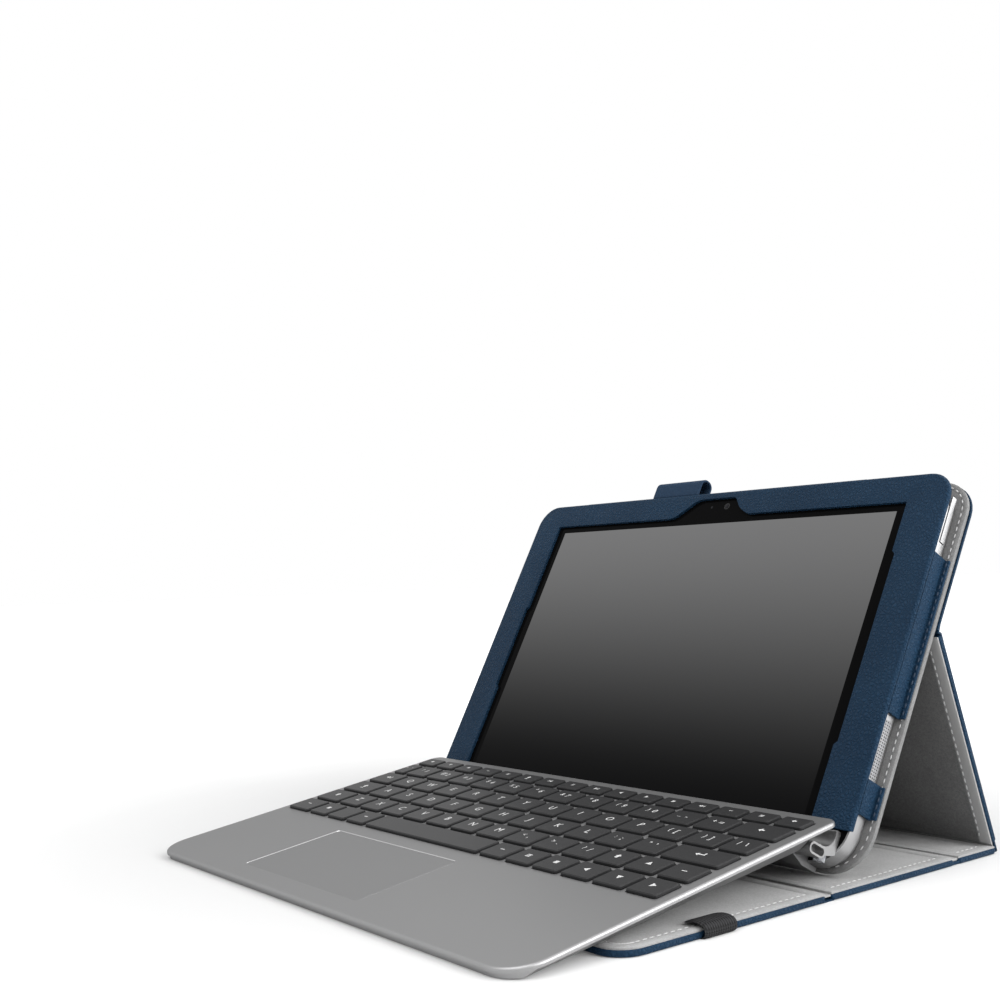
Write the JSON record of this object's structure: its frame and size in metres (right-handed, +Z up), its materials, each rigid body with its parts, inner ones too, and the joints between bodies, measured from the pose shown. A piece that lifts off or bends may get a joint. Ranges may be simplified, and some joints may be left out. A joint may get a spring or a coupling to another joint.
{
  "type": "tablet keyboard case",
  "caption": "Navy leather folio standing open as an easel, with a tablet held in a sewn window pocket, docked in a hinged aluminium keyboard with a trackpad.",
  "frame": {"origin": "middle of the base panel's underside, on the table", "axes": "+X to the right seen from the front, +Y to the back, +Z up"},
  "size_m": [0.2731, 0.2515, 0.1667],
  "materials": {
    "leather": "pebbled, satin",
    "lining": "brushed microfibre",
    "stiffener": "matte",
    "plate_edge": "matte",
    "elastic": "ribbed weave",
    "webbing": "woven",
    "silver": "bead blasted",
    "glass": "polished",
    "display": "gloss",
    "cell": "matte",
    "circuit": "matte",
    "lens": "polished",
    "grille": "perforated",
    "contacts": "gloss",
    "steel": "brushed",
    "keycap": "fine matte",
    "feet": "matte",
    "bumper": "clear, soft"
  },
  "bodies": {
    "base_cover": {"base_leather": "leather", "base_board": "stiffener", "spine_board": "stiffener", "base_lining": "lining", "flap_crease": "leather", "stand_crease": "leather"},
    "front_flap": {"flap_leather": "leather", "flap_board": "stiffener", "flap_lining": "lining", "elastic_band": "elastic"},
    "stand_panel": {"stand_leather": "leather", "stand_board": "stiffener", "stand_lining": "lining", "back_crease": "leather"},
    "tablet_pocket": {"back_board": "plate_edge", "back_lining": "lining", "upper_back_leather": "leather", "pocket_front": "leather", "pocket_core": "stiffener", "pen_loop": "webbing", "tablet_housing": "silver", "screen_glass": "glass", "display_panel": "display", "battery": "cell", "main_board": "circuit", "front_camera": "lens", "speaker_grilles": "grille", "dock_connector": "contacts", "hinge_cradle": "silver", "hinge_pins": "steel", "corner_bumpers": "bumper"},
    "volume_button": {"volume_rocker": "silver"},
    "power_switch": {"power_button": "silver"},
    "keyboard": {"key_deck": "silver", "bottom_shell": "silver", "key_plate": "steel", "keyboard_circuit": "circuit", "keyboard_feet": "feet", "case_screws": "steel"},
    "trackpad_plate": {"trackpad": "silver"},
    "function_keys_body": {"function_keys": "keycap"},
    "number_keys_body": {"number_keys": "keycap"},
    "upper_letter_keys_body": {"upper_letter_keys": "keycap"},
    "home_letter_keys_body": {"home_letter_keys": "keycap"},
    "lower_letter_keys_body": {"lower_letter_keys": "keycap"},
    "bottom_row_keys_body": {"bottom_row_keys": "keycap"},
    "backspace_key_body": {"backspace_key": "keycap"},
    "tab_key_body": {"tab_key": "keycap"},
    "caps_key_body": {"caps_key": "keycap"},
    "enter_key_body": {"enter_key": "keycap"},
    "left_shift_key_body": {"left_shift_key": "keycap"},
    "right_shift_key_body": {"right_shift_key": "keycap"},
    "space_bar_body": {"space_bar": "keycap"},
    "up_arrow_key_body": {"up_arrow_key": "keycap"},
    "left_arrow_key_body": {"left_arrow_key": "keycap"},
    "down_arrow_key_body": {"down_arrow_key": "keycap"},
    "right_arrow_key_body": {"right_arrow_key": "keycap"}
  },
  "joints": [
    {"name": "flap_fold", "type": "hinge", "parent": "base_cover", "child": "front_flap", "pos_m": [0, -0.04, 0], "axis": [1, 0, 0], "range_deg": [0, 165], "deforming": ["flap_crease"]},
    {"name": "stand_fold", "type": "hinge", "parent": "base_cover", "child": "stand_panel", "pos_m": [0, 0.07, 0.0005], "axis": [-1, 0, 0], "range_deg": [0, 111.13], "deforming": ["stand_crease"]},
    {"name": "tablet_fold", "type": "hinge", "parent": "stand_panel", "child": "tablet_pocket", "pos_m": [0, 0.03099, 0.09312], "axis": [1, 0, 0], "range_deg": [0, 50.13], "deforming": ["back_crease"]},
    {"name": "keyboard_fold", "type": "hinge", "parent": "tablet_pocket", "child": "keyboard", "pos_m": [0, -0.03049, 0.02316], "axis": [-1, 0, 0], "range_deg": [0, 127.82]},
    {"name": "volume_rock", "type": "hinge", "parent": "tablet_pocket", "child": "volume_button", "pos_m": [0.1307, 0.04787, 0.13842], "axis": [0, -0.8746, 0.4848], "range_deg": [-1.2, 1.2], "stiffness_Nm_per_rad": 0.5},
    {"name": "power_press", "type": "slide", "parent": "tablet_pocket", "child": "power_switch", "axis": [0, -0.4848, -0.8746], "range_m": [0, 0.0003], "stiffness_N_per_m": 900, "springref_m": -0.0004},
    {"name": "trackpad_click", "type": "hinge", "parent": "keyboard", "child": "trackpad_plate", "pos_m": [0, -0.12599, 0.01123], "axis": [1, 0, 0], "range_deg": [0, 0.8], "stiffness_Nm_per_rad": 4, "springref_deg": -0.46},
    {"name": "function_press", "type": "slide", "parent": "keyboard", "child": "function_keys_body", "axis": [0, 0.1533, -0.9882], "range_m": [0, 0.0012], "stiffness_N_per_m": 250, "springref_m": -0.0008},
    {"name": "number_press", "type": "slide", "parent": "keyboard", "child": "number_keys_body", "axis": [0, 0.1533, -0.9882], "range_m": [0, 0.0012], "stiffness_N_per_m": 250, "springref_m": -0.0008},
    {"name": "upper_letter_press", "type": "slide", "parent": "keyboard", "child": "upper_letter_keys_body", "axis": [0, 0.1533, -0.9882], "range_m": [0, 0.0012], "stiffness_N_per_m": 250, "springref_m": -0.0008},
    {"name": "home_letter_press", "type": "slide", "parent": "keyboard", "child": "home_letter_keys_body", "axis": [0, 0.1533, -0.9882], "range_m": [0, 0.0012], "stiffness_N_per_m": 250, "springref_m": -0.0008},
    {"name": "lower_letter_press", "type": "slide", "parent": "keyboard", "child": "lower_letter_keys_body", "axis": [0, 0.1533, -0.9882], "range_m": [0, 0.0012], "stiffness_N_per_m": 250, "springref_m": -0.0008},
    {"name": "bottom_row_press", "type": "slide", "parent": "keyboard", "child": "bottom_row_keys_body", "axis": [0, 0.1533, -0.9882], "range_m": [0, 0.0012], "stiffness_N_per_m": 250, "springref_m": -0.0008},
    {"name": "backspace_press", "type": "slide", "parent": "keyboard", "child": "backspace_key_body", "axis": [0, 0.1533, -0.9882], "range_m": [0, 0.0012], "stiffness_N_per_m": 250, "springref_m": -0.0008},
    {"name": "tab_press", "type": "slide", "parent": "keyboard", "child": "tab_key_body", "axis": [0, 0.1533, -0.9882], "range_m": [0, 0.0012], "stiffness_N_per_m": 250, "springref_m": -0.0008},
    {"name": "caps_press", "type": "slide", "parent": "keyboard", "child": "caps_key_body", "axis": [0, 0.1533, -0.9882], "range_m": [0, 0.0012], "stiffness_N_per_m": 250, "springref_m": -0.0008},
    {"name": "enter_press", "type": "slide", "parent": "keyboard", "child": "enter_key_body", "axis": [0, 0.1533, -0.9882], "range_m": [0, 0.0012], "stiffness_N_per_m": 250, "springref_m": -0.0008},
    {"name": "left_shift_press", "type": "slide", "parent": "keyboard", "child": "left_shift_key_body", "axis": [0, 0.1533, -0.9882], "range_m": [0, 0.0012], "stiffness_N_per_m": 250, "springref_m": -0.0008},
    {"name": "right_shift_press", "type": "slide", "parent": "keyboard", "child": "right_shift_key_body", "axis": [0, 0.1533, -0.9882], "range_m": [0, 0.0012], "stiffness_N_per_m": 250, "springref_m": -0.0008},
    {"name": "space_bar_press", "type": "slide", "parent": "keyboard", "child": "space_bar_body", "axis": [0, 0.1533, -0.9882], "range_m": [0, 0.0012], "stiffness_N_per_m": 250, "springref_m": -0.0008},
    {"name": "up_arrow_press", "type": "slide", "parent": "keyboard", "child": "up_arrow_key_body", "axis": [0, 0.1533, -0.9882], "range_m": [0, 0.0012], "stiffness_N_per_m": 250, "springref_m": -0.0008},
    {"name": "left_arrow_press", "type": "slide", "parent": "keyboard", "child": "left_arrow_key_body", "axis": [0, 0.1533, -0.9882], "range_m": [0, 0.0012], "stiffness_N_per_m": 250, "springref_m": -0.0008},
    {"name": "down_arrow_press", "type": "slide", "parent": "keyboard", "child": "down_arrow_key_body", "axis": [0, 0.1533, -0.9882], "range_m": [0, 0.0012], "stiffness_N_per_m": 250, "springref_m": -0.0008},
    {"name": "right_arrow_press", "type": "slide", "parent": "keyboard", "child": "right_arrow_key_body", "axis": [0, 0.1533, -0.9882], "range_m": [0, 0.0012], "stiffness_N_per_m": 250, "springref_m": -0.0008}
  ],
  "couplings": [
    {"joint": "tablet_fold", "follows": "stand_fold", "ratio": 0.45109}
  ]
}
